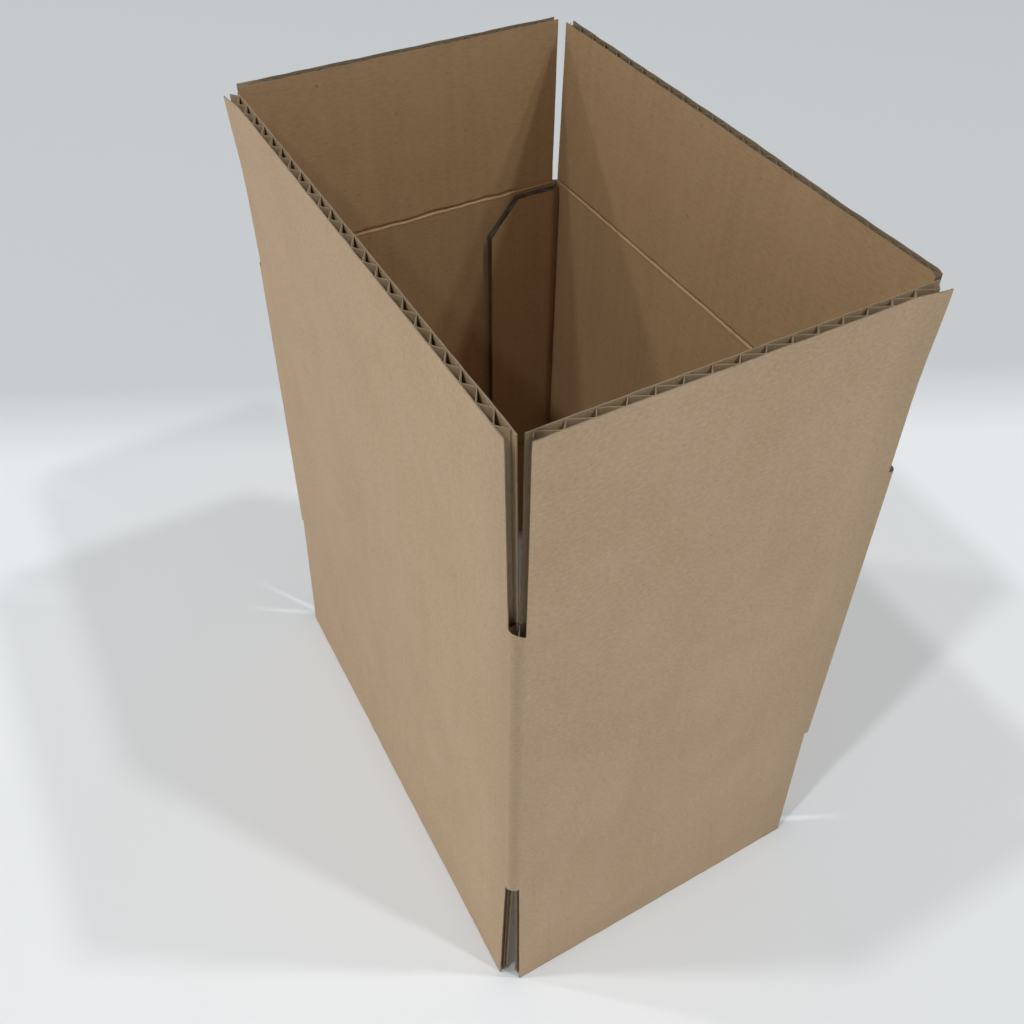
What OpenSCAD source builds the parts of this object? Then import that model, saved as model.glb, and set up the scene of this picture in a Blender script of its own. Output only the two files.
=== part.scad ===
// Small slotted carton of single-wall corrugated board.
// One blank is scored, slotted, folded into a tube and glued at one corner.
// All eight flaps are open and stand in line with the walls, so the carton
// rests on the edges of its bottom flaps.
//
// X runs along the long walls, Y across them and Z up. The origin is at the
// centre of the tube, on the surface that the carton stands on.

/* [Carton] */
// Clear length inside
inside_l = 152.4; // [110:0.2:240]
// Clear width inside
inside_w = 99.6; // [70:0.2:108]
// Clear height inside with every flap shut
inside_h = 106.2; // [70:0.2:220]
// Gap between the tips of the two long flaps when they are shut
flap_meet = 2.6; // [1:0.1:6]

/* [Board] */
// Thickness of the board over both liners
board = 2.7; // [2.4:0.1:4]
// Thickness of each liner
liner = 0.35; // [0.25:0.05:0.45]
// Thickness of the fluted sheet between the liners
medium = 0.3; // [0.2:0.05:0.35]
// Length of one flute along the board
flute_pitch = 6.45; // [5:0.05:8.5]
// Half the width of the glued crest of a flute
crest_half = 0.3; // [0.2:0.05:0.5]

/* [Folds and slots] */
// Gap at a fold line on each side of the fold
fold_gap = 0.15; // [0.12:0.01:0.3]
// Distance of a flap's turning axis outside the outer liner
hinge_out = 0.1; // [0.05:0.01:0.2]
// Clearance between the end of a flap and the face of its neighbour
slot_gap = 0.15; // [0.1:0.01:0.6]
// Clearance between shut long flaps and the short flaps below them
stack_gap = 0.2; // [0.1:0.05:0.6]
// Depth of a slot past the fold line of the short flaps
slot_over = 0.3; // [0.1:0.05:2]

/* [Corners] */
// Outer radius of a creased corner
crease_r = 2; // [0.6:0.1:2.2]
// Width of the glue tab
tab_w = 26; // [18:0.5:40]
// Width of the bevel at each end of the glue tab
tab_bevel_w = 10; // [4:0.5:14]
// Height of the bevel at each end of the glue tab
tab_bevel_h = 12; // [4:0.5:20]
// Clearance between the glue tab and a shut flap
tab_gap = 0.25; // [0.15:0.05:2]
// Width of the seam beside the glued corner
seam_w = 0.4; // [0.3:0.05:0.8]
// Depth of the seam beside the glued corner
seam_d = 0.9; // [0.4:0.05:1.5]

/* [Lean of the open flaps] */
// Outward lean of the front top flap in degrees
lean_top_front = 1.3; // [0:0.1:4]
// Outward lean of the right top flap in degrees
lean_top_right = 0; // [0:0.1:4]
// Outward lean of the back top flap in degrees
lean_top_back = 0.6; // [0:0.1:4]
// Outward lean of the left top flap in degrees
lean_top_left = 2.8; // [0:0.1:4]
// Outward lean of the bottom flaps in degrees
lean_bottom = 1.5; // [0:0.1:4]

/* [Hidden] */
$fn = 48;

kraft = [0.72, 0.58, 0.43];
kraft_flap = [0.74, 0.60, 0.45];
past = 1;

// Outer size of the tube
out_l = inside_l + 2 * board;
out_w = inside_w + 2 * board;

// The fold lines of the long flaps lie one board outside those of the short flaps,
// so that the long flaps close flat on top of the short ones.
fold_step = board + stack_gap;
reach_long = (out_w - flap_meet) / 2;
reach_short = reach_long + fold_step;
fold_low_long = reach_long;
fold_low_short = reach_short;
fold_high_short = fold_low_short + inside_h + 2 * board;
fold_high_long = fold_high_short + fold_step;

// Slots between neighbouring flaps, measured from the outer corner
slot_cut = board + slot_gap;
slot_low = fold_low_short + slot_over;
slot_high = fold_high_short - slot_over;
flap_long = out_l - 2 * slot_cut;
flap_short = out_w - 2 * slot_cut;

// Cells between the fluted sheet and the liners: trapezoids with parallel flanks
cell_h = board - 2 * liner - medium;
flank = 1.4 * medium;
cell_base = flute_pitch / 2 - crest_half;
cell_slope = medium / cell_h;
cell_tip = (crest_half + cell_base * cell_slope - flank) / (1 + cell_slope);

// One cell, open on the inner liner if inner is true, else on the outer liner
module flute_cell(at, inner) {
    base = inner ? board - liner : liner;
    tip = inner ? liner + medium : board - liner - medium;
    polygon([
        [at - cell_base, base],
        [at + cell_base, base],
        [at + cell_tip, tip],
        [at - cell_tip, tip]
    ]);
}

// Cross-section of the board: X along it, Y from the outer to the inner face
module board_section(long) {
    half = ceil(long / flute_pitch) + 1;
    difference() {
        translate([-long / 2, 0])
            square([long, board]);
        for (i = [-half : half])
            flute_cell(i * flute_pitch / 2, abs(i) % 2 == 0);
    }
}

// Prism along X of an outline drawn in Y and Z
module along_x(long) {
    rotate([90, 0, 90])
        linear_extrude(long, center = true)
            children();
}

// Board standing up, cut to an outline drawn in Y and Z
module upright_board(long, low, high) {
    intersection() {
        translate([0, 0, low])
            linear_extrude(high - low)
                board_section(long);
        along_x(long + 2 * past)
            children();
    }
}

// Turns the front side of the tube to the given side: 0 front, 1 right, 2 back, 3 left
module on_side(side) {
    rotate([0, 0, 90 * side])
        children();
}

// Wall of the tube, mitred on the inside at both fold lines
module wall(long, face, low, high) {
    translate([0, -face, 0])
        upright_board(long, low, high)
            polygon([
                [0, low + fold_gap],
                [board, low + fold_gap + board],
                [board, high - fold_gap - board],
                [0, high - fold_gap]
            ]);
}

// Flap above its fold line, mitred on the inside, leaning outwards about its axis
module flap(long, face, reach, lean) {
    translate([0, -face - hinge_out, 0])
        rotate([lean, 0, 0])
            translate([0, hinge_out, 0])
                upright_board(long, 0, reach)
                    polygon([
                        [0, fold_gap],
                        [board, fold_gap + board],
                        [board, reach + past],
                        [0, reach + past]
                    ]);
}

module top_flap(side, long, face, fold, reach, lean) {
    on_side(side)
        translate([0, 0, fold])
            flap(long, face, reach, lean);
}

// The lower edge is pressed flat on the surface that the carton stands on
module bottom_flap(side, long, face, fold, lean) {
    wide = 2 * (out_l + out_w);
    intersection() {
        on_side(side)
            translate([0, 0, fold])
                mirror([0, 0, 1])
                    flap(long, face, fold + past, lean);
        translate([-wide / 2, -wide / 2, 0])
            cube([wide, wide, fold]);
    }
}

// Creased corner: solid, because the crease crushes the flutes
module corner_post(x, y) {
    high = slot_high - slot_low;
    mirror([x < 0 ? 1 : 0, 0, 0])
        mirror([0, y < 0 ? 1 : 0, 0])
            translate([out_l / 2 - board, out_w / 2 - board, slot_low])
                intersection() {
                    cube([board, board, high]);
                    union() {
                        cube([board, board - crease_r, high]);
                        cube([board - crease_r, board, high]);
                        translate([board - crease_r, board - crease_r, 0])
                            cylinder(r = crease_r, h = high);
                    }
                }
}

// Glued corner: the left wall's cut edge lies flush with the back wall
module glued_post() {
    translate([-out_l / 2, out_w / 2 - board, slot_low])
        cube([board, board, slot_high - slot_low]);
}

// Seam where the cut edge of the left wall meets the crease of the glue tab
module seam() {
    translate([-out_l / 2 + board, out_w / 2 - seam_d, 0])
        cube([seam_w, seam_d + past, fold_high_long + past]);
}

// Glue tab: carries on from the back wall round the corner, inside the left wall
module glue_tab() {
    sunk = liner / 4;
    low = fold_low_short + fold_gap + board + tab_gap;
    high = fold_high_short - fold_gap - board - tab_gap;
    from = -out_w / 2 + board - sunk;
    to = -out_w / 2 + board + tab_w;
    on_side(3)
        translate([0, -out_l / 2 + board - sunk, 0])
            intersection() {
                translate([(from + to) / 2, 0, low])
                    linear_extrude(high - low)
                        board_section(to - from);
                rotate([90, 0, 0])
                    linear_extrude(4 * board, center = true)
                        polygon([
                            [from, low],
                            [to - tab_bevel_w, low],
                            [to, low + tab_bevel_h],
                            [to, high - tab_bevel_h],
                            [to - tab_bevel_w, high],
                            [from, high]
                        ]);
            }
}

// Slots that part neighbouring flaps, at one end of the tube
module slots(low, high) {
    for (x = [-1, 1], y = [-1, 1])
        mirror([x < 0 ? 1 : 0, 0, 0])
            mirror([0, y < 0 ? 1 : 0, 0])
                translate([out_l / 2 - slot_cut, out_w / 2 - slot_cut, low])
                    cube([slot_cut + past, slot_cut + past, high - low]);
}

// Four walls and the glue tab, folded from one sheet and glued at the back left corner
module sleeve() {
    color(kraft)
        difference() {
            union() {
                for (side = [0, 2])
                    on_side(side)
                        wall(out_l - 2 * crease_r, out_w / 2, fold_low_long, fold_high_long);
                for (side = [1, 3])
                    on_side(side)
                        wall(out_w - 2 * crease_r, out_l / 2, fold_low_short, fold_high_short);
                corner_post(1, -1);
                corner_post(1, 1);
                corner_post(-1, -1);
                glued_post();
                glue_tab();
            }
            slots(0, slot_low);
            slots(slot_high, fold_high_long + past);
            seam();
        }
}

module top_flap_front() {
    color(kraft_flap)
        top_flap(0, flap_long, out_w / 2, fold_high_long, reach_long, lean_top_front);
}

module top_flap_right() {
    color(kraft_flap)
        top_flap(1, flap_short, out_l / 2, fold_high_short, reach_short, lean_top_right);
}

module top_flap_back() {
    color(kraft_flap)
        top_flap(2, flap_long, out_w / 2, fold_high_long, reach_long, lean_top_back);
}

module top_flap_left() {
    color(kraft_flap)
        top_flap(3, flap_short, out_l / 2, fold_high_short, reach_short, lean_top_left);
}

module bottom_flap_front() {
    color(kraft_flap)
        bottom_flap(0, flap_long, out_w / 2, fold_low_long, lean_bottom);
}

module bottom_flap_right() {
    color(kraft_flap)
        bottom_flap(1, flap_short, out_l / 2, fold_low_short, lean_bottom);
}

module bottom_flap_back() {
    color(kraft_flap)
        bottom_flap(2, flap_long, out_w / 2, fold_low_long, lean_bottom);
}

module bottom_flap_left() {
    color(kraft_flap)
        bottom_flap(3, flap_short, out_l / 2, fold_low_short, lean_bottom);
}

sleeve();
top_flap_front();
top_flap_right();
top_flap_back();
top_flap_left();
bottom_flap_front();
bottom_flap_right();
bottom_flap_back();
bottom_flap_left();
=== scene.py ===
import math

import bpy
import numpy as np
from mathutils import Matrix, Vector


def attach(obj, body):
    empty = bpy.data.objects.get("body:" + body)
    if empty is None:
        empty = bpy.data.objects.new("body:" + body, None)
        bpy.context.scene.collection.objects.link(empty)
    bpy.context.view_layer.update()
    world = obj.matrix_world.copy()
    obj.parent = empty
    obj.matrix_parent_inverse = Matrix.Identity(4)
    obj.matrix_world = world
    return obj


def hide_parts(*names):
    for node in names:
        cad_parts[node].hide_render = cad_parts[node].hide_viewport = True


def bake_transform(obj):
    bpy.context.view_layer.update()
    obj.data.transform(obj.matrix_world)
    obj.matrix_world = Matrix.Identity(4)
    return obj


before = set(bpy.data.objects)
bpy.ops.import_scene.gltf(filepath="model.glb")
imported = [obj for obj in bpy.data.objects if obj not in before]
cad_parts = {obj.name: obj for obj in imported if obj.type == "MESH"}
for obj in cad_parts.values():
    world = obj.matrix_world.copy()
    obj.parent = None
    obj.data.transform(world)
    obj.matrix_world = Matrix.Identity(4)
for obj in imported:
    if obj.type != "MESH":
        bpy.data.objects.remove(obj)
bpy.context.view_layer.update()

# Sizes of the carton in millimetres. Every side of the tube has the same local axes: s along the side,
# n from the outer face inwards and z up. On a flap, t runs from the fold line towards the tip.
INSIDE_L, INSIDE_W, INSIDE_H = 152.4, 99.6, 106.2
BOARD = 2.7  # thickness over both liners
LINER = 0.27
MEDIUM = 0.2  # thickness of the fluted sheet
PITCH = 6.45  # length of one flute
HINGE_OUT = 0.1  # distance of a flap's turning axis outside the outer face
FLAP_MEET = 2.6  # gap between the tips of the two long flaps when they are shut
STACK_GAP = 0.2  # gap between shut long flaps and the short flaps below them
SLOT_GAP = 0.15  # gap between the end of a flap and the face of its neighbour
SLOT_OVER = 0.3  # depth of a slot past the fold line of the short flaps
SCORE_OVER = 1.0  # distance of the pressed score past the fold line of the short flaps
BEND = 3.0  # half the height of the zone that bends at a fold
SEAT = 5.0  # how far a flap's piece reaches past its fold into the wall
LEAN_TOP = [1.3, 0.0, 0.6, 2.8]  # outward lean of the top flaps in degrees
LEAN_LOW = 1.5  # outward lean of the bottom flaps
MM = 0.001  # one millimetre in metres

LONG, SHORT = INSIDE_L + 2 * BOARD, INSIDE_W + 2 * BOARD
SLOT_CUT = BOARD + SLOT_GAP
FOLD_STEP = BOARD + STACK_GAP
LOW_LONG = (SHORT - FLAP_MEET) / 2
LOW_SHORT = LOW_LONG + FOLD_STEP
HIGH_SHORT = LOW_SHORT + INSIDE_H + 2 * BOARD
HIGH_LONG = HIGH_SHORT + FOLD_STEP
TIP = HIGH_LONG + LOW_LONG
SLOT_LOW, SLOT_HIGH = LOW_SHORT + SLOT_OVER, HIGH_SHORT - SLOT_OVER
SCORE_LOW, SCORE_HIGH = LOW_SHORT - SCORE_OVER, HIGH_SHORT + SCORE_OVER

SIDES = ["front", "right", "back", "left"]
RIGHT, BACK, LEFT = 1, 2, 3
LENGTH = [LONG, SHORT, LONG, SHORT]
FACE = [SHORT / 2, LONG / 2, SHORT / 2, LONG / 2]  # distance of a side's outer face from the centre
HALF = [length / 2 - SLOT_CUT for length in LENGTH]  # half the length of a flap
FOLD_LOW = [LOW_LONG, LOW_SHORT, LOW_LONG, LOW_SHORT]
FOLD_HIGH = [HIGH_LONG, HIGH_SHORT, HIGH_LONG, HIGH_SHORT]
START = [0.0, LONG, LONG + SHORT, -SHORT]  # place of each side in the flat sheet
SEAM = START[BACK] + LONG  # end of the flat sheet's last wall, where the glue tab starts

# Materials by their place in a piece's list
OUTER, INNER, FLUTE, EDGE = 0, 1, 2, 3

# Noise and ramps

LATTICE_SIZE = 4096
LATTICE = [np.random.default_rng(seed).uniform(-1, 1, LATTICE_SIZE) for seed in range(24)]
SHIFT_X, SHIFT_Y = 500.0, 40.0  # keep places in the lattice above zero
ROW_APART = 977.0  # length between neighbouring rows of noise over a surface


def smooth(u):
    return u * u * (3 - 2 * u)


def ramp(x, start, over):
    """0 up to start, then rising to 1 over the given length."""
    return np.clip((x - start) / over, 0, 1)


def ease(x, start, over):
    """A ramp with soft ends."""
    return smooth(ramp(x, start, over))


def wave(x, size, seed):
    """Smooth noise between -1 and 1 along one direction."""
    q = np.asarray(x, float) / size + SHIFT_X
    i = np.floor(q).astype(int)
    u = smooth(q - i)
    row = LATTICE[seed]
    return row[i % LATTICE_SIZE] * (1 - u) + row[(i + 1) % LATTICE_SIZE] * u


def waves(x, *parts):
    """Sum of noises, each given as its height, its size and its seed."""
    return sum(height * wave(x, size, seed) for height, size, seed in parts)


def wave_over(x, y, size_x, size_y, seed):
    """Smooth noise between -1 and 1 over a surface."""
    q = np.asarray(y, float) / size_y + SHIFT_Y
    j = np.floor(q).astype(int)
    u = smooth(q - j)
    here = wave(x + j * ROW_APART, size_x, seed)
    above = wave(x + (j + 1) * ROW_APART, size_x, seed)
    return here * (1 - u) + above * u


# Unevenness of the liners
SWELL_OUT = dict(height=0.05, size_p=34, size_z=46, seed=3, flutes=0.012)
SWELL_IN = dict(height=0.06, size_p=26, size_z=60, seed=5, flutes=0.02)


def swell(p, z, height, size_p, size_z, seed, flutes):
    """Broad waves of a liner, with the flutes showing through."""
    return height * wave_over(p, z, size_p, size_z, seed) + flutes * np.cos(2 * np.pi * p / PITCH)


# Places and meshes

CLOSE = 0.09  # rows that lie closer than this are joined
COLUMNS_PER_FLUTE = 6
SHARP = math.radians(32)  # edges that turn by more than this are sharp


def turned(side, x, y):
    """A direction of the front side, turned to the given side."""
    for _ in range(side):
        x, y = -y, x
    return x, y


def on_side(side, s, n):
    """World x and y of a point on a side of the tube."""
    return turned(side, s, n - FACE[side])


def grid(x, y, z):
    return np.stack(np.broadcast_arrays(x, y, z), -1)


def rows(*runs):
    """Sorted positions without close repeats."""
    out = []
    for x in sorted(np.concatenate([np.atleast_1d(run) for run in runs])):
        if not out or x - out[-1] > CLOSE:
            out.append(float(x))
    return np.array(out)


def columns(low, high):
    count = round((high - low) / (PITCH / COLUMNS_PER_FLUTE))
    return np.linspace(low, high, count + 1)


def neighbours(mask, wrap):
    """For every cell of a grid, whether there is one below, on the right, above and on the left."""
    padded = np.pad(mask, 1)
    below, above = padded[:-2, 1:-1], padded[2:, 1:-1]
    if wrap:
        left, right = np.roll(mask, 1, 1), np.roll(mask, -1, 1)
    else:
        left, right = padded[1:-1, :-2], padded[1:-1, 2:]
    return below, right, above, left


class Sheet:
    """Closed solids gathered into one mesh. Each is a grid with two sides and a rim all round."""

    def __init__(self):
        self.co, self.blank, self.faces, self.tags = [], [], [], []
        self.count = 0

    def add(self, low, high, blank_low, blank_high, tags, mask=None, wrap=False):
        """low and high are grids (rows, columns, 3) of the side away from the inside and of the side
        towards it, blank_low and blank_high their places in the flat sheet. Rows go up and columns go
        round the tube, seen from outside. tags are the materials of low, high and the rim."""
        tall, wide = low.shape[:2]
        size = tall * wide
        cells = wide if wrap else wide - 1
        index = np.arange(size).reshape(tall, wide) + self.count
        after = np.roll(index, -1, 1)
        a, b = index[:-1, :cells], after[:-1, :cells]
        d, c = index[1:, :cells], after[1:, :cells]
        if mask is None:
            mask = np.ones((tall - 1, cells), bool)
        front = np.stack([a, b, c, d], -1)[mask]
        back = front[:, ::-1] + size
        rim = []
        for beside, i, j in zip(neighbours(mask, wrap), (a, b, c, d), (b, c, d, a)):
            free = mask & ~beside
            rim.append(np.stack([j[free], i[free], i[free] + size, j[free] + size], -1))
        for faces, tag in zip((front, back, np.concatenate(rim)), tags):
            self.faces.append(faces)
            self.tags.append(np.full(len(faces), tag))
        self.co += [low.reshape(-1, 3), high.reshape(-1, 3)]
        self.blank += [blank_low.reshape(-1, 3), blank_high.reshape(-1, 3)]
        self.count += 2 * size

    def make(self, name):
        """The object, with the places in the flat sheet as an attribute of its points."""
        co, blank, faces, tags = (np.concatenate(v) for v in (self.co, self.blank, self.faces, self.tags))
        used = np.zeros(len(co), bool)
        used[faces.ravel()] = True
        renumber = np.cumsum(used) - 1
        mesh = bpy.data.meshes.new(name)
        mesh.from_pydata((co[used] * MM).tolist(), [], renumber[faces].tolist())
        for material in KRAFT:
            mesh.materials.append(material)
        mesh.polygons.foreach_set("material_index", tags.astype(np.int32))
        place = mesh.attributes.new("blank", "FLOAT_VECTOR", "POINT")
        place.data.foreach_set("vector", (blank[used] * MM).astype(np.float32).ravel())
        mesh.shade_smooth()
        mesh.set_sharp_from_angle(angle=SHARP)
        mesh.validate()
        mesh.update()
        obj = bpy.data.objects.new(name, mesh)
        bpy.context.scene.collection.objects.link(obj)
        return obj


# Fluted sheet

CREST_SHIFT_IN, CREST_SHIFT_OUT = 0.16, 0.18  # how far crests lie off their even places
CREST_FLAT, CREST_UNEVEN = 0.13, 0.05  # half the width of a crest, and how much that varies
CREST_SEED_IN, CREST_SEED_OUT, CREST_SEED_FLAT = 7, 8, 9
FLANK_POINTS = 4
FLANK_BEND = 0.02  # a slight S shape, so that the flanks run softly into the crests
GLUED_IN = 0.02  # how far a crest sinks into its liner


def flute_line(low, high, seed, phase, lean):
    """Points (s, n) along the middle of the fluted sheet, from crest to crest. lean is the share of a
    pitch between an inner crest and the next outer crest."""
    first = math.floor((low - phase) / PITCH) - 1
    last = math.ceil((high - phase) / PITCH) + 1
    reach = (BOARD - 2 * LINER - MEDIUM) / 2
    near, far = BOARD / 2 - reach, BOARD / 2 + reach
    knots = []
    for i in range(first, last + 1):
        inner = phase + (i - 0.5) * PITCH + CREST_SHIFT_IN * wave(3 * i, 1, CREST_SEED_IN)
        shift = CREST_SHIFT_OUT * wave(3 * i, 1, CREST_SEED_OUT + seed % 3)
        outer = inner + lean * PITCH + shift
        flat = CREST_FLAT + CREST_UNEVEN * wave(5 * i, 1, CREST_SEED_FLAT)
        knots += [(inner - flat, far), (inner + flat, far), (outer - flat, near), (outer + flat, near)]
    points = []
    for (s0, n0), (s1, n1) in zip(knots[:-1], knots[1:]):
        count = 1 if n0 == n1 else FLANK_POINTS
        for u in np.arange(count) / count:
            v = u - FLANK_BEND * math.sin(2 * math.pi * u)
            points.append((s0 + (s1 - s0) * u, n0 + (n1 - n0) * v))
    s, n = np.array(points).T
    inside = (s > low) & (s < high)
    s_cut = np.concatenate([[low], s[inside], [high]])
    return np.stack([s_cut, np.interp(s_cut, s, n)], -1)


def flute_sides(line):
    """Both sides of the fluted sheet: its middle line moved by half the thickness, towards -n and +n."""
    step = np.gradient(line, axis=0)
    step /= np.linalg.norm(step, axis=1)[:, None]
    shift = np.stack([-step[:, 1], step[:, 0]], -1) * MEDIUM / 2
    sides = line - shift, line + shift
    for side in sides:
        side[:, 1] = np.clip(side[:, 1], LINER - GLUED_IN, BOARD - LINER + GLUED_IN)
    return sides


# Flaps. Apart from the defaults of the class below, each has the marks of its own use.

FLAPS = {}
for side, side_name in enumerate(SIDES):
    FLAPS["top_flap_" + side_name] = dict(side=side, up=1, lean=LEAN_TOP[side], seed=side)
    FLAPS["bottom_flap_" + side_name] = dict(side=side, up=-1, lean=LEAN_LOW, seed=side + 4)
FLAPS["top_flap_front"].update(phase=0.1, flute=0.55, flare=(-1, 1.25), recess=(-0.4, 1.7))
FLAPS["top_flap_right"].update(phase=0.7, flute=0.72, flare=(1, 1.25), recess=(0.8, 1.3))
FLAPS["top_flap_left"].update(rough=1.0, trim=(1.7, 0.0), faint=0.9)
FLAPS["top_flap_back"].update(trim=(1.2, 1.5), worn=0.6, crush=0.65)

# Rows of a flap's mesh: in the wall, past the fold, about the score and back from the tip
SEAT_ROWS = [-SEAT, -4.0]
FREE_ROWS = [4.2, 6.5, 10, 15, 21, 28, 35, 41]
SCORE_ROWS = [-1.2, -0.9, -0.7, -0.57, -0.45, -0.34, -0.22, -0.11, 0.0, 0.2, 0.45, 0.75, 1.1, 1.6]
TIP_ROWS = [0.0, 0.35, 0.9, 1.8, 3.2]
BEND_STEP = 0.5
# The same for its fluted sheet
FLUTE_FREE_ROWS = [5, 12, 22, 34, 44]
FLUTE_SCORE_ROWS = [-0.8, -0.3, 0.0, 0.6, 1.4]
FLUTE_TIP_ROWS = [0.12, 1.6]
FLUTE_BEND_STEP = 1.0
FLUTE_SEAT = 0.05  # how much shorter the fluted sheet is in the wall

# Score in the inner liner, and its waves as height, size and seed
SCORE_DEPTH = 0.5
SCORE_LEDGE, SCORE_RISE = 0.45, 1.0  # width of its steep side and of its soft side
SCORE_WANDER = (0.16, 2.3, 11), (0.14, 7.0, 12)
SCORE_DRIFT = 0.08, 18.0, 13
SCORE_ROUGH, SCORE_BROAD = (0.22, 3.1, 14), (0.06, 21.0, 15)
SCORE_RAGGED = 0.35, 4.0, 16
SCORE_END, SCORE_END_OVER = 0.25, 22.0  # share of the depth at the flap's ends, and the length of the change
FAINT_FROM, FAINT_OVER = 31.5, 3.0  # where the score gets faint
LIP_HEIGHT, LIP_AT, LIP_WIDE = 0.1, 0.6, 0.3  # raised line beside the steep side

# Marks of use: where each starts, over which length it grows, and with which power
FREE_OVER = 1.4  # a flap is held by the corner up to the slot, and free after this length
TRIM_OVER = 8.0
PRESS_FROM, PRESS_OVER, PRESS_POWER = 5.0, 45.0, 1.5
BOW_SHARE, BOW_FROM, BOW_OVER = 0.5, -35.0, 40.0
WORN_WIDE, WORN_TALL = 2.2, 8.0
FLARE_OVER, FLARE_POWER = 11.0, 1.5
FLARE_FROM_T, FLARE_POWER_T = 18.0, 1.6

# Cut edges: lengths that are uneven, waves as height, size and seed, how far the liners stand open at
# the tip, and how much shorter each sheet is than the flap's outline
SIDE_FADE = 5.0  # the liners lie flat at the ends of a flap, and swell after this length
END_ZONE, END_FREE, END_WAVE = 1.2, 4.0, (0.05, 4.0, 17)
END_SEEDS_APART = 50.0
TIP_ZONE, TIP_SHORT = 3.2, 0.06
OUTER_OPEN, OUTER_OPEN_WAVE, OUTER_NICKS = 0.06, (0.07, 5.0, 18), (0.08, 3.6, 19)
INNER_OPEN, INNER_OPEN_WAVE, INNER_NICKS = 0.05, (0.06, 4.4, 20), (0.08, 3.1, 21)
FLUTE_ZONE, FLUTE_RISE, FLUTE_SHORT = 1.6, 1.5, 0.08
FLUTE_LEAN, FLUTE_NICKS = (0.12, 2.9, 22), (0.05, 2.2, 23)
TABLE_PRESS = 0.12  # extra length of a bottom flap, pressed flat by the surface that it stands on

# Depth of the faint hollow beside a creased corner, by distance from the corner
HOLLOW = [SLOT_CUT, 3.7, 4.4, 5.2], [0.08, 0.1, 0.03, 0.0]


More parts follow.
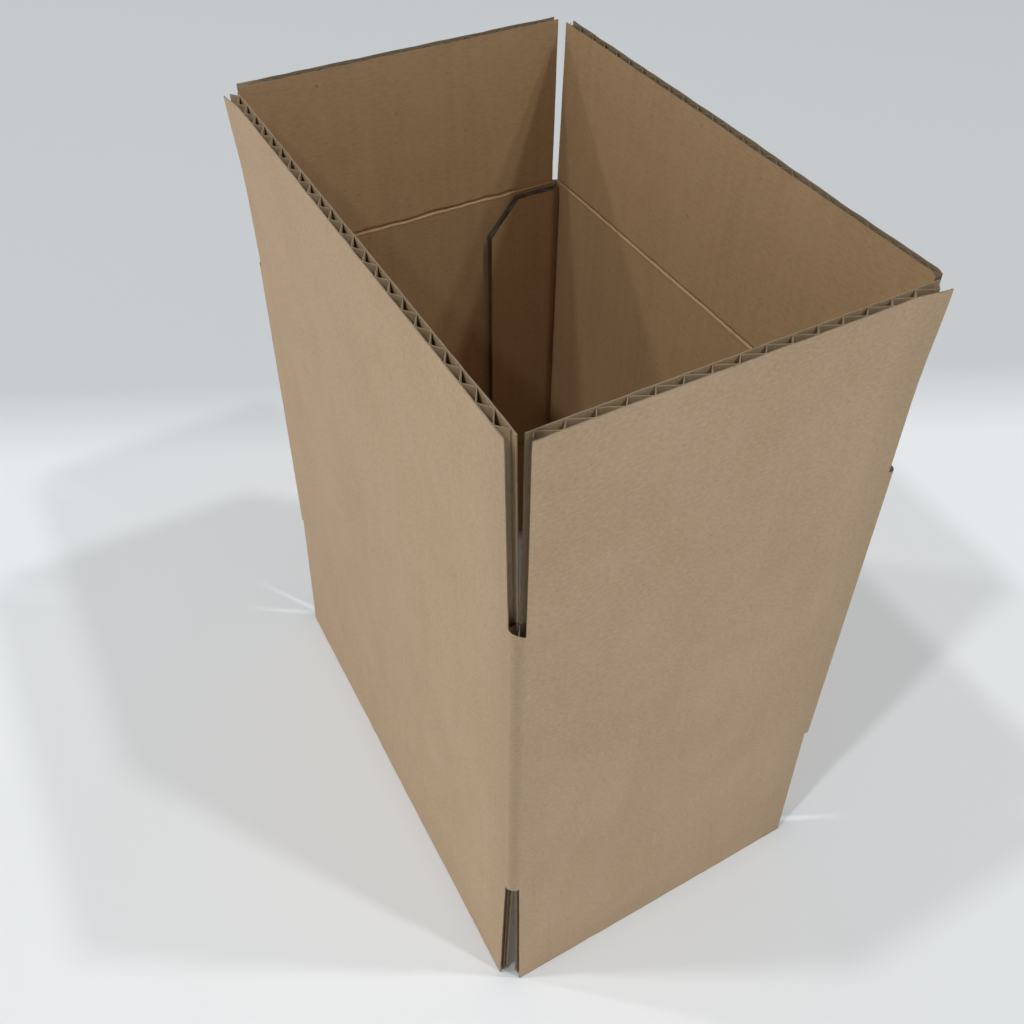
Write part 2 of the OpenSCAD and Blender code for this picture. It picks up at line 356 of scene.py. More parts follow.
class Flap:
    """A flap with its fold and a strip of the wall: two liners and the fluted sheet between them.

    phase and flute are the place and the lean of its flutes, and recess how far the fluted sheet ends
    inside the two ends. flare is the end, -1 or 1, where the outer liner lifts off, and the amount.
    rough and faint are the unevenness of the score and how much of it is lost at one end. trim is what
    one end is cut back, at the fold and at the tip, worn what its corner is rounded off, and crush how
    far the outer liner is pressed in there."""

    def __init__(self, name, side, up, lean, seed, phase=0.0, flute=0.55, flare=(0, 0), recess=(0.2, 0.2),
                 rough=0.25, trim=(0.0, 0.0), worn=0.0, crush=0.0, faint=0.0):
        self.name, self.side, self.up, self.seed = name, side, up, seed
        self.phase, self.flute, self.flare, self.recess = phase, flute, flare, recess
        self.rough, self.trim, self.worn, self.crush, self.faint = rough, trim, worn, crush, faint
        self.turn = math.radians(lean)
        self.half = HALF[side]
        if up > 0:
            self.fold = FOLD_HIGH[side]
            self.score = SCORE_HIGH - self.fold
            self.reach = TIP - self.fold
        else:
            self.fold = FOLD_LOW[side]
            self.score = self.fold - SCORE_LOW
            self.reach = self.fold / math.cos(self.turn) + TABLE_PRESS

    def height(self, t):
        """Height of a place on the upright flap."""
        return self.fold + self.up * t

    def along(self, s):
        """Place along the flat sheet."""
        return s + START[self.side] + LENGTH[self.side] / 2

    def blank(self, s, t, n):
        return grid(self.along(s), self.height(t), n)

    def bent(self, s, t, n):
        """World place of the point that lies t past the fold and n inside the outer face."""
        angle = self.turn * ease(t, -BEND, 2 * BEND)
        arm = n + HINGE_OUT
        depth = arm * np.cos(angle) - t * np.sin(angle) - HINGE_OUT
        rise = t * np.cos(angle) + arm * np.sin(angle)
        x, y = on_side(self.side, s, depth)
        return grid(x, y, np.maximum(self.height(rise), 0.0))

    def groove(self, s, t):
        """Depth of the pressed score in the inner liner: a ledge on the wall's side, then a soft rise."""
        past = t - (self.score + self.rough * waves(s, *SCORE_WANDER) + waves(s, SCORE_DRIFT))
        depth = SCORE_DEPTH + self.rough * waves(s, SCORE_ROUGH) + waves(s, SCORE_BROAD)
        depth = depth * (SCORE_END + (1 - SCORE_END) * ease(self.half - np.abs(s), 0, SCORE_END_OVER))
        depth = depth * (1 - self.faint * ease(-s, FAINT_FROM, FAINT_OVER))
        ledge = ease(past, -SCORE_LEDGE, SCORE_LEDGE)
        rise = 1 - ease(past, 0, SCORE_RISE + self.rough * waves(s, SCORE_RAGGED))
        lip = LIP_HEIGHT * np.exp(-(((past + LIP_AT) / LIP_WIDE) ** 2))
        return depth * np.where(past < 0, ledge, rise) - lip

    def free(self, t):
        """0 where the corner holds the flap, 1 past the end of the slot."""
        z = self.height(t)
        return ease(z, SLOT_HIGH, FREE_OVER) if self.up > 0 else ease(-z, -SLOT_LOW, FREE_OVER)

    def share(self, t):
        """Share of the way from the fold to the tip."""
        return ramp(t, 0, self.reach)

    def cut_back(self, s, t):
        """One end of the flap is cut back."""
        amount = self.trim[0] + (self.trim[1] - self.trim[0]) * self.share(t)
        return amount * self.free(t) * ramp(-s, self.half - TRIM_OVER, TRIM_OVER)

    def squeeze(self, s, t):
        """The outer liner is pressed in towards the tip at the same end."""
        return self.crush * ease(-s, PRESS_FROM, PRESS_OVER) * self.share(t) ** PRESS_POWER

    def warp(self, s, t):
        """The rest of that flap bows outwards a little."""
        return -BOW_SHARE * self.crush * ease(s, BOW_FROM, BOW_OVER) * self.share(t)

    def wear(self, s, t):
        """Its corner is rounded off."""
        corner = ramp(-s, self.half - WORN_WIDE, WORN_WIDE) ** 2
        return -self.worn * corner * ramp(t, self.reach - WORN_TALL, WORN_TALL)

    def lift(self, s, t):
        """The outer liner lifts off at one corner of the tip."""
        end, amount = self.flare
        along_end = ease(end * s, self.half - FLARE_OVER, FLARE_OVER) ** FLARE_POWER
        to_tip = ease(t, FLARE_FROM_T, self.reach - FLARE_FROM_T) ** FLARE_POWER_T
        return amount * along_end * to_tip

    def rough_end(self, s, t):
        """The ends are cut a little unevenly."""
        zone = np.sign(s) * ramp(np.abs(s), self.half - END_ZONE, END_ZONE) * ease(t, BEND, END_FREE)
        return zone * (waves(t + END_SEEDS_APART * self.seed, END_WAVE) - END_WAVE[0])

    def add_liners(self, sheet):
        bend_rows = np.arange(-BEND, BEND + BEND_STEP / 2, BEND_STEP)
        score_rows = self.score + np.array(SCORE_ROWS)
        t = rows(SEAT_ROWS, bend_rows, score_rows, FREE_ROWS, self.reach - np.array(TIP_ROWS))
        s, t = np.meshgrid(columns(-self.half, self.half), t)
        p, z = self.along(s), self.height(t)
        tip = ramp(t, self.reach - TIP_ZONE, TIP_ZONE) ** 2
        flat = ease(self.half - np.abs(s), 0, SIDE_FADE)
        hollow = np.interp(LENGTH[self.side] / 2 - np.abs(s), *HOLLOW) * (1 - self.free(t))
        outer = swell(p, z, **SWELL_OUT) * flat + hollow + self.squeeze(s, t) + self.warp(s, t)
        outer = outer - tip * (OUTER_OPEN + waves(s, OUTER_OPEN_WAVE)) - self.lift(s, t)
        inner = BOARD - self.groove(s, t) - swell(p, z, **SWELL_IN) * flat + self.warp(s, t)
        inner = inner + tip * (INNER_OPEN + waves(s, INNER_OPEN_WAVE))
        s_cut = s + self.rough_end(s, t) + self.cut_back(s, t)
        for low, depth, nicks, tags in (
            (outer, 0.0, OUTER_NICKS, (OUTER, FLUTE, EDGE)),
            (inner - LINER, BOARD - LINER, INNER_NICKS, (FLUTE, INNER, EDGE)),
        ):
            t_cut = t + tip * (waves(s, nicks) - TIP_SHORT) + self.wear(s, t)
            sheet.add(
                self.bent(s_cut, t_cut, low),
                self.bent(s_cut, t_cut, low + LINER),
                self.blank(s_cut, t, depth),
                self.blank(s_cut, t, depth + LINER),
                tags,
            )

    def add_flutes(self, sheet):
        line = flute_line(
            -self.half + self.recess[0], self.half - self.recess[1], self.seed, self.phase, self.flute
        )
        bend_rows = np.arange(-BEND, BEND + BEND_STEP / 2, FLUTE_BEND_STEP)
        score_rows = self.score + np.array(FLUTE_SCORE_ROWS)
        tip_rows = self.reach - np.array(FLUTE_TIP_ROWS)
        t_rows = rows([-SEAT + FLUTE_SEAT], bend_rows, score_rows, FLUTE_FREE_ROWS, tip_rows)
        clear = BOARD - 2 * LINER
        places, blanks = [], []
        for side_line in flute_sides(line):
            s, t = np.meshgrid(side_line[:, 0], t_rows)
            share = (side_line[:, 1] - LINER) / clear * (clear - self.groove(s, t)) / clear
            n = LINER + share * clear + self.squeeze(s, t) * (1 - share) + self.warp(s, t)
            tip = ramp(t, self.reach - FLUTE_ZONE, FLUTE_RISE)
            lean = tip**2 * waves(s, FLUTE_LEAN)
            t = t + tip * (waves(s, FLUTE_NICKS) - FLUTE_SHORT) + self.wear(s, t)
            s = s + self.cut_back(s, t)
            places.append(self.bent(s + lean, t, n))
            blanks.append(self.blank(s, t, n))
        sheet.add(*places, *blanks, (FLUTE, FLUTE, EDGE))

    def build(self):
        sheet = Sheet()
        self.add_liners(sheet)
        self.add_flutes(sheet)
        obj = sheet.make(self.name.replace("_flap_", "_") + "_flap_board")
        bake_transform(obj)
        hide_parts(self.name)


# Sleeve: the corners of the tube. Their points (x, y) are measured from the corner, x along the wall
# before it and y along the wall after it.

CREASE_R = 2.1  # outer radius of a creased corner
CREASE_STEP = 11.25  # degrees between the points of the round
CREASE_RIM = -2.4, 0.03  # last point before the round
CREASE_SHARP = 0.13  # inside, the points of the round are drawn together on this length
CORNER_REACH = 5.3  # no column of a wall lies closer to a corner
CORNER = -1  # columns of a corner, in place of the number of a wall
FAR = 99.0  # distance from a corner of the columns that aren't near one

# The glued corner has the cut edge of the left wall, open between its liners, and the seam
GLUED_OUTER = [
    (-5.2, 0.0), (-4.2, 0.0), (-3.4, 0.02), (-SLOT_CUT - 0.02, 0.1), (-2.8, 0.5), (-2.72, 0.95),
    (-2.7, 0.25), (-2.66, 0.02), (-2.42, 0.0), (-2.38, 0.55), (-1.4, 0.72), (-0.36, 0.55),
    (-0.33, 0.02), (-0.03, 0.0), (0.0, 0.03), (0.0, 1.2), (0.0, SLOT_CUT), (0.0, 4.2), (0.0, 5.2),
]
GLUED_INNER = (
    [(-5.2, BOARD), (-4.2, BOARD), (-3.4, BOARD), (-SLOT_CUT - 0.02, BOARD)]
    + [(-BOARD - 0.14 + 0.014 * k, BOARD) for k in range(10)]
    + [(-BOARD, y) for y in (BOARD + 0.004, BOARD + 0.06, SLOT_CUT, 4.2, 5.2)]
)

# Height of the slots' ends round a corner, by distance from the corner: first the near corner, which
# is pulled askew, then the others
SLOT_TOP = (
    ([-2.6, -2.0, -1.4, -0.2, 0.6, 1.6, 2.1, 2.6], [0.5, 0.61, 0.71, 0.9, 0.57, -0.07, -0.54, -0.6]),
    ([-2.6, -2.1, -1.4, 0, 2, 2.6], [0.35, 0.1, -0.05, -0.15, -0.3, -0.35]),
)
SLOT_FOOT = (
    ([-2.6, -2.0, -1.0, 0.0, 1.0, 2.0, 2.6], [-0.7, -0.5, 0.15, 0.55, 0.3, -0.3, -0.5]),
    ([-2.6, -2.1, -1.4, 0, 2, 2.6], [-0.35, -0.1, 0.05, 0.15, 0.3, 0.35]),
)
SLOT_NEAR, SLOT_SOFT = 3.2, 0.6  # width of a slot's end on each side of the corner, and its soft part
SLOT_PRESSED = [5.0, 0.8, 1.0, 0.8]  # how far the inner liner is pressed away there, by corner
PRESSED_LOW, PRESSED_HIGH = 70.0, 150.0  # heights between which it isn't

# Rows of the sleeve's mesh: between the flaps' pieces, and one more near the upper slots
WALL_ROWS = np.linspace(63, 157, 20)
UPPER_ROW = 162.2


def corner_line():
    """Outer and inner points round a creased corner: round outside, with a faint hollow beside it, and
    sharp inside."""
    before = [(-x, depth) for x, depth in zip(*HOLLOW)][::-1]
    angles = np.radians(np.arange(0, 90 + CREASE_STEP / 2, CREASE_STEP))
    bow = [(CREASE_R * (math.sin(a) - 1), CREASE_R * (1 - math.cos(a))) for a in angles]
    outer = before + [CREASE_RIM] + bow
    outer += [(-y, -x) for x, y in [CREASE_RIM] + before[::-1]]
    spread = np.linspace(-CREASE_SHARP, CREASE_SHARP, len(outer) - 2 * len(before))
    inner = [(x, BOARD) for x, y in before]
    inner += [(-BOARD + min(d, 0), BOARD + max(d, 0)) for d in spread]
    inner += [(-BOARD, -x) for x, y in before[::-1]]
    return outer, inner


def past_corner(outer):
    """Distance of each point past the middle of the corner, along the sheet."""
    length = np.cumsum(np.linalg.norm(np.diff(outer, axis=0, prepend=outer[:1]), axis=1))
    return length - length[-1] / 2


def tube_columns():
    """Columns of the tube's sheet in their order round it: outer and inner point, place along the flat
    sheet, distance past the corner, number of that corner, and wall that the column belongs to."""
    found = []
    for side in range(4):
        end = LENGTH[side] / 2
        for s in columns(-HALF[side], HALF[side]):
            if abs(s) < end - CORNER_REACH:
                place = s + START[side] + end
                found.append((on_side(side, s, 0.0), on_side(side, s, BOARD), place, FAR, side, side))
        outer, inner = (GLUED_OUTER, GLUED_INNER) if side == BACK else corner_line()
        for (x, y), (x_in, y_in), past in zip(outer, inner, past_corner(outer)):
            place = START[side] + 2 * end + past
            if side == BACK and x > -BOARD - 0.01:
                # Past the seam the flat sheet starts anew
                place = START[LEFT] + (x if x < 0 else y)
            wall = CORNER
            if x < -SLOT_CUT - 0.01:
                wall = side
            elif y > SLOT_CUT - 0.01:
                wall = (side + 1) % 4
            points = on_side(side, end + x, y), on_side(side, end + x_in, y_in)
            found.append((*points, place, past, side, wall))
    return [np.array(v) for v in zip(*found)]


def tube_mask(z, wall):
    """Cells of the tube's grid that the sleeve fills: each wall between its flaps' pieces, and each
    corner between its slots."""
    mask = np.zeros((len(z) - 1, len(wall)), bool)
    for i, (here, after) in enumerate(zip(wall, np.roll(wall, -1))):
        if CORNER in (here, after):
            low, high = SLOT_LOW, SLOT_HIGH
        else:
            low, high = FOLD_LOW[here] + SEAT, FOLD_HIGH[here] - SEAT
        mask[:, i] = (z[:-1] > low - CLOSE) & (z[1:] < high + CLOSE)
    return mask


def build_sleeve():
    """The four walls and creased corners as one closed sheet, and the glue tab."""
    outer, inner, along, past, corner, wall = tube_columns()
    seats = [fold + SEAT for fold in FOLD_LOW] + [fold - SEAT for fold in FOLD_HIGH]
    z = rows([SLOT_LOW, UPPER_ROW, SLOT_HIGH], seats, WALL_ROWS)
    p_grid, z_grid = np.meshgrid(along, z)
    # Slot ends
    drop = np.zeros_like(z_grid)
    upper = ease(z, PRESSED_HIGH, SLOT_HIGH - PRESSED_HIGH)[:, None]
    lower = ease(-z, -PRESSED_LOW, PRESSED_LOW - SLOT_LOW)[:, None]
    for side in range(4):
        near = np.where(corner == side, np.abs(past), FAR)
        ends = near < SLOT_NEAR
        z_grid[-1, ends] += np.interp(past[ends], *SLOT_TOP[side > 0])
        z_grid[0, ends] += np.interp(past[ends], *SLOT_FOOT[side > 0])
        drop += (lower - upper) * SLOT_PRESSED[side] * ease(-near, -SLOT_NEAR, SLOT_SOFT)
    # Unevenness of the walls
    inward = np.array([(0.0, 0.0) if k == CORNER else turned(k, 0.0, 1.0) for k in wall])
    folds = (START[LEFT], START[0], START[RIGHT], START[BACK], SEAM)
    beside = np.min([np.abs(along - fold) for fold in folds], axis=0)
    flat = ease(beside, SLOT_CUT, SIDE_FADE)
    out_n = swell(p_grid, z_grid, **SWELL_OUT) * flat
    in_n = -swell(p_grid, z_grid, **SWELL_IN) * flat
    sheet = Sheet()
    sheet.add(
        grid(outer[:, 0] + inward[:, 0] * out_n, outer[:, 1] + inward[:, 1] * out_n, z_grid),
        grid(inner[:, 0] + inward[:, 0] * in_n, inner[:, 1] + inward[:, 1] * in_n, z_grid + drop),
        grid(p_grid, z_grid, 0.0),
        grid(p_grid, z_grid, BOARD),
        (OUTER, INNER, EDGE),
        tube_mask(z, wall),
        wrap=True,
    )
    add_tab(sheet)
    obj = sheet.make("sleeve_board")
    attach(obj, "sleeve")
    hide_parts("sleeve")


# Glue tab, inside the left wall. q runs from 0 at its lower edge to 1 at its upper edge.

TAB_START, TAB_W = -49.75, 26.0
TAB_LOW, TAB_HIGH = 57.2, 165.2
TAB_BEVEL_W, TAB_BEVEL_H = 10.0, 12.0
TAB_LIFT, TAB_LIFT_END = 0.06, 0.22  # gap to the wall, and how much more at the free edge
TAB_CREASE, TAB_CREASE_OVER = 1.6, 3.0  # depth of the crushed board at the corner, and its width
TAB_RAGGED = 0.05, 3.0, 10
TAB_SWELL, TAB_SWELL_WAVE = 0.05, dict(size_x=9, size_y=0.25, seed=6)
TAB_FLUTES = dict(seed=2, phase=1.1, lean=0.55)
TAB_FLUTE_ENDS = 0.1, 0.35  # how far the fluted sheet ends inside the two ends

# Columns of the tab's mesh from the corner, and rows as shares of its height
TAB_CREASE_COLUMNS = np.array([0, 0.4, 0.8, 1.2, 1.7, 2.3, 3.0])
TAB_FREE_FROM, TAB_FREE_STEP = 4.0, 1.0
TAB_EDGE_ROWS = np.array([0, 0.006, 0.02])
TAB_ROWS = np.linspace(0.06, 0.94, 12)
TAB_FLUTE_ROWS = np.linspace(0.002, 0.998, 12)


def on_tab(s, q, n):
    """World place of a point on the tab, and its place in the flat sheet."""
    bevel = TAB_BEVEL_H * ramp(s, TAB_START + TAB_W - TAB_BEVEL_W, TAB_BEVEL_W)
    z = TAB_LOW + bevel + (TAB_HIGH - TAB_LOW - 2 * bevel) * q
    lift = TAB_LIFT + TAB_LIFT_END * ((s - TAB_START) / TAB_W) ** 2
    n = n - TAB_CREASE * (1 - ease(s, TAB_START, TAB_CREASE_OVER)) * ramp(n, 0, BOARD)
    x, y = on_side(LEFT, s, n + BOARD + lift)
    return grid(x, y, z), grid(s - TAB_START + SEAM, z, n)


def add_tab(sheet):
    """Glue tab: bevelled at both ends, with open flutes at its cut edges."""
    end = TAB_START + TAB_W
    free = np.arange(TAB_START + TAB_FREE_FROM, end, TAB_FREE_STEP)
    s = rows(TAB_START + TAB_CREASE_COLUMNS, free, [end - TAB_BEVEL_W, end])
    q = np.concatenate([TAB_EDGE_ROWS, TAB_ROWS, 1 - TAB_EDGE_ROWS[::-1]])
    s, q = np.meshgrid(s, q)
    ragged = waves(s, TAB_RAGGED) * ((q == 0) | (q == 1))
    for low, uneven, tags in (
        (0.0, 0.0, (INNER, FLUTE, EDGE)),
        (BOARD - LINER, TAB_SWELL, (FLUTE, INNER, EDGE)),
    ):
        n = low + ragged + uneven * wave_over(s, q, **TAB_SWELL_WAVE)
        places, blanks = zip(on_tab(s, q, n), on_tab(s, q, n + LINER))
        sheet.add(*places, *blanks, tags)
    line = flute_line(TAB_START + TAB_FLUTE_ENDS[0], end - TAB_FLUTE_ENDS[1], **TAB_FLUTES)
    sides = []
    for side_line in flute_sides(line):
        s, q = np.meshgrid(side_line[:, 0], TAB_FLUTE_ROWS)
        sides.append(on_tab(s, q, side_line[:, 1] + 0 * s))
    places, blanks = zip(*sides)
    sheet.add(*places, *blanks, (FLUTE, FLUTE, EDGE))


# Materials


class Nodes:
    """Short ways to build a node tree. A value is a number, a colour or another node's output."""

    def __init__(self, owner):
        owner.use_nodes = True
        self.tree = owner.node_tree

    def add(self, kind, **settings):
        node = self.tree.nodes.new("ShaderNode" + kind)
        for key, value in settings.items():
            setattr(node, key, value)
        return node

    def put(self, value, socket):
        """Joins another node's output to a socket, or sets the socket."""
        if isinstance(value, bpy.types.NodeSocket):
            self.tree.links.new(value, socket)
        elif socket.type == "RGBA":
            socket.default_value = (*value, 1)
        else:
            socket.default_value = value

    def math(self, operation, a, b=0.0, clamp=False):
        node = self.add("Math", operation=operation, use_clamp=clamp)
        self.put(a, node.inputs[0])
        self.put(b, node.inputs[1])
        return node.outputs[0]

    def vector(self, operation, a, b=(0, 0, 0), out="Vector"):
        node = self.add("VectorMath", operation=operation)
        self.put(a, node.inputs[0])
        self.put(b, node.inputs[1])
        return node.outputs[out]

    def mix(self, share, a, b):
        """Colour between a and b."""
        node = self.add("Mix", data_type="RGBA")
        for key, value in ((0, share), (6, a), (7, b)):
            self.put(value, node.inputs[key])
        return node.outputs[2]

    def part(self, vector, axis):
        node = self.add("SeparateXYZ")
        self.put(vector, node.inputs[0])
        return node.outputs[axis]

    def noise(self, place, density, detail, roughness):
        node = self.add("TexNoise")
        self.put(self.vector("MULTIPLY", place, density), node.inputs["Vector"])
        for key, value in (("Scale", 1.0), ("Detail", detail), ("Roughness", roughness)):
            node.inputs[key].default_value = value
        return node.outputs[0]

    def span(self, value, low, high, to_low=0.0, to_high=1.0):
        """The value between low and high, brought to lie between to_low and to_high."""
        node = self.add("MapRange")
        for key, setting in enumerate((value, low, high, to_low, to_high)):
            self.put(setting, node.inputs[key])
        return node.outputs[0]


# Noises of the paper. Their densities are per metre: along the flat sheet, up it and through it.
CLOUDS = dict(density=(38, 30, 38), detail=4.0, roughness=0.6)
PATCHES = dict(density=(150, 110, 150), detail=3.0, roughness=0.6)
FIBRES = dict(detail=2.0, roughness=0.65)
FELT = dict(density=(1400, 1700, 1400), detail=2.0, roughness=0.6)
LINES = dict(density=(330, 9, 330), detail=2.0, roughness=0.6)
SPECKS = dict(density=(520, 900, 520), detail=1.0, roughness=0.5)
SPREAD = 0.3, 0.7  # most of a noise lies between these
FIBRE_SPREAD = 0.28, 0.72
SPECK_SPREAD = 0.745, 0.80

# Their shares of the tone, and of the surface
CLOUD_TONE, PATCH_TONE, FIBRE_TONE, FELT_TONE = 0.30, 0.16, 0.8, 0.16
SPECK_SHARE, SPECK_SHADE = 0.55, 0.45
ROUGH_SPREAD = 0.06
PAPER_SHINE = 0.22
BUMP_STRENGTH, BUMP_FELT = 0.35, 0.7

# Places along the flat sheet, in millimetres, where painted shade darkens the cut edges: the back and the
# left side, the upper end of the right side at the near corner, and the glue tab
EDGE_SHADE_BACK, EDGE_SHADE_LEFT = (250.0, 270.0), (-4.0, -12.0)
EDGE_SHADE_END, EDGE_SHADE_END_REACH, EDGE_SHADE_END_UP = 161.5, (3.5, 2.0), (60.0, 140.0)
EDGE_SHADE_TAB, EDGE_SHADE_TAB_SHARE = (SEAM + 0.5, SEAM + 2.0), 0.7
EDGE_SHADE_TONE = 0.22

# Painted shade at a creased corner: darker within a reach of it, and a little darker on the sheet before it
CREASE_SHADE_REACH, CREASE_SHADE_BEFORE, CREASE_SHADE_AFTER = (2.6, 1.1), (-14.0, -2.5), (0.0, 1.0)
CREASE_SHADE_GAIN = 1.25
CREASE_SHADE_UNEVEN = 0.75, 1.25


def shaded(colour, share):
    return tuple(share * value for value in colour)


def painted_edge_shade(m, along, up, edge_shade):
    """Painted shade: how much darker a cut edge is, by its place along and up the flat sheet in millimetres.
    """
    end = m.math("ABSOLUTE", m.math("SUBTRACT", along, EDGE_SHADE_END))
    dark = m.math("ADD", m.span(along, *EDGE_SHADE_BACK, 0.0, edge_shade), m.span(along, *EDGE_SHADE_LEFT, 0.0, edge_shade))
    end = m.math("MULTIPLY", m.span(end, *EDGE_SHADE_END_REACH, 0.0, edge_shade), m.span(up, *EDGE_SHADE_END_UP))
    dark = m.math("MAXIMUM", dark, end)
    return m.math("MAXIMUM", dark, m.span(along, *EDGE_SHADE_TAB, 0.0, EDGE_SHADE_TAB_SHARE))


def painted_crease_shade(m, along, cloud, crease_shade):
    """Painted shade: how much darker the sheet is at the creased corners, by its place along the flat sheet.
    """
    shade = 0.0
    for corner in (START[0], START[RIGHT], START[BACK]):
        past = m.math("SUBTRACT", along, corner)
        shade_at_corner = m.span(m.math("ABSOLUTE", past), *CREASE_SHADE_REACH, 0.0, CREASE_SHADE_GAIN * crease_shade)
        rise = m.span(past, *CREASE_SHADE_BEFORE, 0.0, crease_shade)
        fall = m.span(past, *CREASE_SHADE_AFTER, 1.0, 0.0)
        both = m.math("MAXIMUM", shade_at_corner, m.math("MULTIPLY", rise, fall))
        shade = m.math("MAXIMUM", both, shade)
    return m.math("MULTIPLY", shade, m.span(cloud, *SPREAD, *CREASE_SHADE_UNEVEN))


def kraft(name, base, pale, dark, fibre, streak, rough, relief, edge_shade=0.0, crease_shade=0.0):
    """Unbleached paper: mottled colour, fibres lying one way, a few dark specks and a matt, felted
    surface. Its coordinates lie in the flat sheet, so the pattern runs on over folds."""
    material = bpy.data.materials.new(name)
    m = Nodes(material)
    shader = m.tree.nodes["Principled BSDF"]
    place = m.add("Attribute", attribute_name="blank").outputs["Vector"]
    along, up = (m.math("DIVIDE", m.part(place, axis), MM) for axis in (0, 1))
    cloud = m.noise(place, **CLOUDS)
    patch = m.noise(place, **PATCHES)
    fibres = m.noise(place, fibre, **FIBRES)
    felt = m.noise(place, **FELT)
    lines = m.noise(place, **LINES)
    tone = m.span(fibres, *FIBRE_SPREAD, -FIBRE_TONE, FIBRE_TONE)
    for noise, share in ((cloud, CLOUD_TONE), (patch, PATCH_TONE), (felt, FELT_TONE), (lines, streak)):
        tone = m.math("ADD", tone, m.span(noise, *SPREAD, -share, share))
    colour = m.mix(m.math("MULTIPLY", tone, 0.5, clamp=True), base, pale)
    colour = m.mix(m.math("MULTIPLY", tone, -0.5, clamp=True), colour, dark)
    specks = m.span(m.noise(place, **SPECKS), *SPECK_SPREAD, 0.0, SPECK_SHARE)
    colour = m.mix(specks, colour, shaded(base, SPECK_SHADE))
    # Painted shade on the cut edges of some sides, the near end and the glue tab
    if edge_shade:
        colour = m.mix(painted_edge_shade(m, along, up, edge_shade), colour, shaded(base, EDGE_SHADE_TONE))
    # Painted shade at the creased corners
    if crease_shade:
        colour = m.mix(painted_crease_shade(m, along, cloud, crease_shade), colour, (0.0, 0.0, 0.0))
    m.put(colour, shader.inputs["Base Color"])
    roughness = m.span(fibres, *SPREAD, rough - ROUGH_SPREAD, rough + ROUGH_SPREAD)
    m.put(roughness, shader.inputs["Roughness"])
    shader.inputs["Specular IOR Level"].default_value = PAPER_SHINE
    bump = m.add("Bump")
    bump.inputs["Strength"].default_value = BUMP_STRENGTH
    bump.inputs["Distance"].default_value = relief
    height = m.math("ADD", m.span(fibres, 0.0, 1.0), m.math("MULTIPLY", felt, BUMP_FELT))
    m.put(height, bump.inputs["Height"])
    m.put(bump.outputs[0], shader.inputs["Normal"])
    return material


KRAFT = [
    kraft(
        "kraft_outer_liner",
        base=(0.485, 0.348, 0.220),
        pale=(0.58, 0.435, 0.295),
        dark=(0.37, 0.25, 0.145),
        fibre=(760, 1300, 760),
        streak=0.08,
        rough=0.86,
        relief=0.06 * MM,
        # painted shade at the creased corners
        crease_shade=0.08,
    ),
    kraft(
        "kraft_inner_liner",
        base=(0.445, 0.296, 0.160),
        pale=(0.51, 0.346, 0.193),
        dark=(0.347, 0.219, 0.109),
        fibre=(420, 1500, 420),
        streak=0.30,
        rough=0.88,
        relief=0.06 * MM,
    ),
    kraft(
        "kraft_fluted_sheet",
        base=(0.425, 0.317, 0.197),
        pale=(0.51, 0.395, 0.262),
        dark=(0.325, 0.23, 0.135),
        fibre=(1300, 300, 1300),
        streak=0.2,
        rough=0.9,
        relief=0.08 * MM,
        edge_shade=0.5,
    ),
    kraft(
        "kraft_cut_edge",
        base=(0.225, 0.168, 0.11),
        pale=(0.31, 0.24, 0.16),
        dark=(0.14, 0.10, 0.065),
        fibre=(1900, 1900, 1900),
        streak=0.2,
        rough=0.92,
        relief=0.1 * MM,
        edge_shade=0.4,
    ),
]

# The carton

build_sleeve()
for flap_name, facts in FLAPS.items():
    Flap(flap_name, **facts).build()

# Surround and floor, in metres

SKY = (0.95, 0.98, 1.0)
SKY_LOW, SKY_HIGH = 0.74, 0.08  # strength at the horizon and overhead
SKY_SIDES = (1.22, 0.78)  # share of that on the left and on the right
FLOOR_HALF = 6.0
FLOOR_BELOW = 0.0002
FLOOR_PALE, FLOOR_PALER = (0.78, 0.803, 0.822), (0.803, 0.824, 0.841)
FLOOR_FAR = (0.577, 0.6, 0.614)  # a darker tone behind the carton
FLOOR_FAR_TOWARD, FLOOR_FAR_FROM = (-0.902, 0.432, 0.0), (0.14, 0.19)
FLOOR_CLOUDS = dict(density=(6, 6, 6), detail=3.0, roughness=0.5)
FLOOR_ROUGH, FLOOR_SHINE = (0.55, 0.7), 0.15
FLOOR_FADE = 1.3, 4.5  # distance at which the floor runs into the surround


def surround():
    """Even pale light from all round."""
    world = bpy.data.worlds.new("surround")
    bpy.context.scene.world = world
    m = Nodes(world)
    direction = m.add("TexCoord").outputs["Generated"]
    strength = m.span(m.part(direction, 2), 0.0, 1.0, SKY_LOW, SKY_HIGH)
    share = m.span(m.part(direction, 0), -1.0, 1.0, *SKY_SIDES)
    sky = m.tree.nodes["Background"]
    m.put(SKY, sky.inputs["Color"])
    m.put(m.math("MULTIPLY", strength, share), sky.inputs["Strength"])


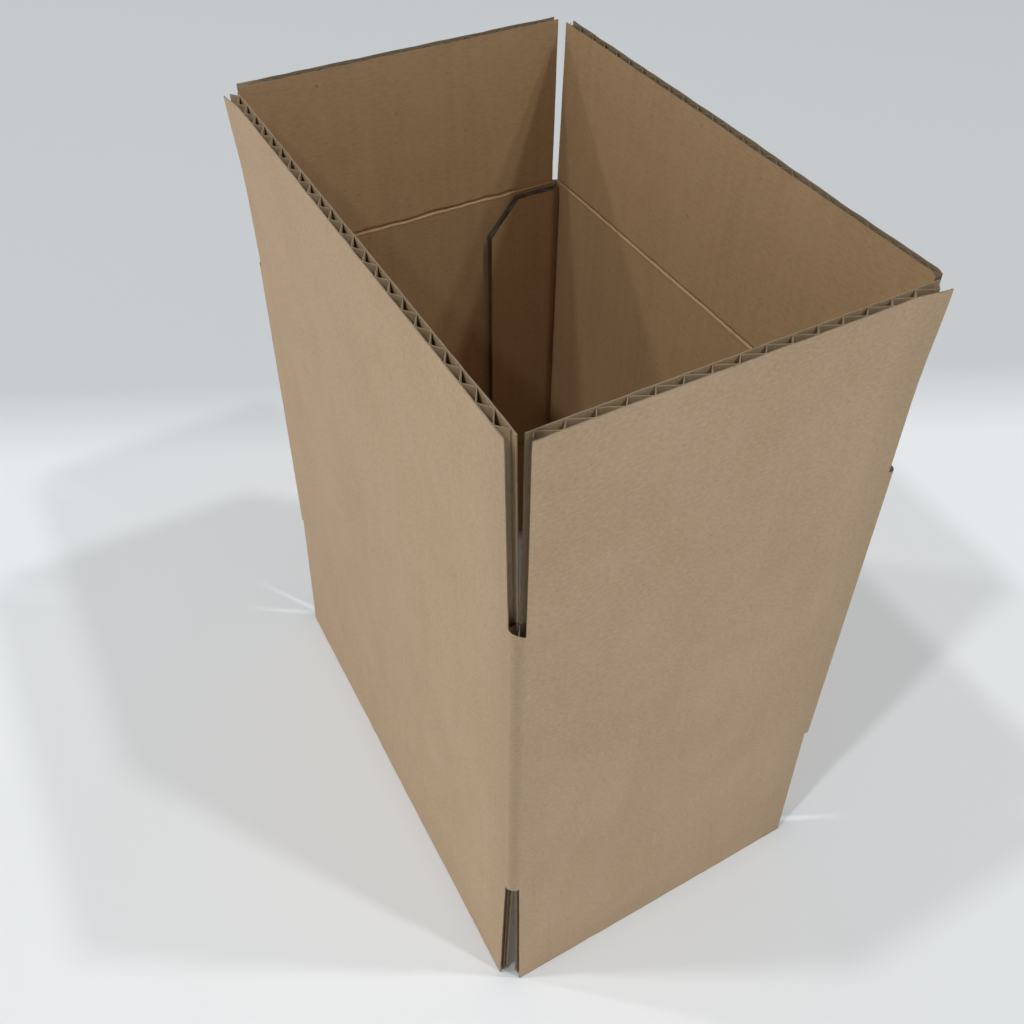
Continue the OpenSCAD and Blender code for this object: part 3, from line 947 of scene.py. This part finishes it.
def floor_material():
    """Pale and matt. Far away it runs into the surround, as the camera sees it."""
    material = bpy.data.materials.new("studio_floor")
    m = Nodes(material)
    shader = m.tree.nodes["Principled BSDF"]
    place = m.add("TexCoord").outputs["Object"]
    soft = m.noise(place, **FLOOR_CLOUDS)
    behind = m.vector("DOT_PRODUCT", place, FLOOR_FAR_TOWARD, "Value")
    near = m.mix(m.span(soft, *SPREAD), FLOOR_PALE, FLOOR_PALER)
    colour = m.mix(m.span(behind, *FLOOR_FAR_FROM), near, FLOOR_FAR)
    m.put(colour, shader.inputs["Base Color"])
    m.put(m.span(soft, *SPREAD, *FLOOR_ROUGH), shader.inputs["Roughness"])
    shader.inputs["Specular IOR Level"].default_value = FLOOR_SHINE
    sideways = m.part(m.vector("NORMALIZE", place), 0)
    glow = m.add("Emission")
    m.put(SKY, glow.inputs["Color"])
    m.put(m.span(sideways, -1.0, 1.0, *shaded(SKY_SIDES, SKY_LOW)), glow.inputs["Strength"])
    seen = m.add("LightPath").outputs["Is Camera Ray"]
    away = m.span(m.vector("LENGTH", place, out="Value"), *FLOOR_FADE)
    blend = m.add("MixShader")
    m.put(m.math("MULTIPLY", away, seen), blend.inputs[0])
    m.put(shader.outputs[0], blend.inputs[1])
    m.put(glow.outputs[0], blend.inputs[2])
    m.put(blend.outputs[0], m.tree.nodes["Material Output"].inputs["Surface"])
    return material


def build_floor():
    corners = [(x * FLOOR_HALF, y * FLOOR_HALF, 0) for x, y in ((-1, -1), (1, -1), (1, 1), (-1, 1))]
    mesh = bpy.data.meshes.new("floor")
    mesh.from_pydata(corners, [], [(0, 1, 2, 3)])
    mesh.materials.append(floor_material())
    floor = bpy.data.objects.new("floor", mesh)
    floor.location.z = -FLOOR_BELOW
    bpy.context.scene.collection.objects.link(floor)


build_floor()

# Soft lamps high on all sides and overhead: the direction of each, and how bright it makes the floor

LAMPS = {
    "lamp_back": ((67.5, 105, 220), 0.15),
    "lamp_right": ((121, 77, 220), 0.136),
    "lamp_front": ((38.5, -145, 220), 0.167),
    "lamp_left": ((-44, -93, 220), 0.16),
    "lamp_low": ((-165, -195, 220), 0.07),
    "lamp_top": ((0, 0, 220), 0.06),
}
LAMP_AWAY, LAMP_SIZE = 5.0, 0.25
LAMP_TARGET = Vector((0, 0, 0.1))


def build_lamp(name, toward, level):
    toward = Vector(toward).normalized()
    data = bpy.data.lights.new(name, "AREA")
    data.shape = "DISK"
    data.size = LAMP_SIZE
    data.energy = level * math.pi**2 * LAMP_AWAY**2 / toward.z
    lamp = bpy.data.objects.new(name, data)
    lamp.location = LAMP_TARGET + toward * LAMP_AWAY
    lamp.rotation_euler = (-toward).to_track_quat("-Z", "Y").to_euler()
    bpy.context.scene.collection.objects.link(lamp)


for lamp_name, (toward, level) in LAMPS.items():
    build_lamp(lamp_name, toward, level)
surround()

# Camera at the photograph's place

PICTURE = 1024  # width and height in pixels
FOCAL = 1106.19  # focal length in pixels
CENTRE_ROW = 394.74  # row where the camera's axis meets the picture
SENSOR = 36.0
CAMERA_PLACE = (0.19917, -0.12156, 0.35048)
AZIMUTH, ELEVATION, ROLL = (math.radians(v) for v in (60.59, 40.59, 0.69))
CLIP_START = 0.01


def build_camera():
    level = math.cos(ELEVATION)
    forward = Vector((-math.sin(AZIMUTH) * level, math.cos(AZIMUTH) * level, -math.sin(ELEVATION)))
    right = Vector((math.cos(AZIMUTH), math.sin(AZIMUTH), 0))
    up = right.cross(forward)
    rolled_right = math.cos(ROLL) * right + math.sin(ROLL) * up
    rolled_up = math.cos(ROLL) * up - math.sin(ROLL) * right
    turn = Matrix((rolled_right, rolled_up, -forward)).transposed().to_4x4()
    camera = bpy.data.objects.new("camera", bpy.data.cameras.new("camera"))
    camera.matrix_world = Matrix.Translation(CAMERA_PLACE) @ turn
    camera.data.sensor_width = SENSOR
    camera.data.lens = FOCAL / PICTURE * SENSOR
    camera.data.shift_y = (CENTRE_ROW - PICTURE / 2) / PICTURE
    camera.data.clip_start = CLIP_START
    bpy.context.scene.collection.objects.link(camera)
    bpy.context.scene.camera = camera


build_camera()
bpy.context.scene.view_settings.view_transform = "Standard"
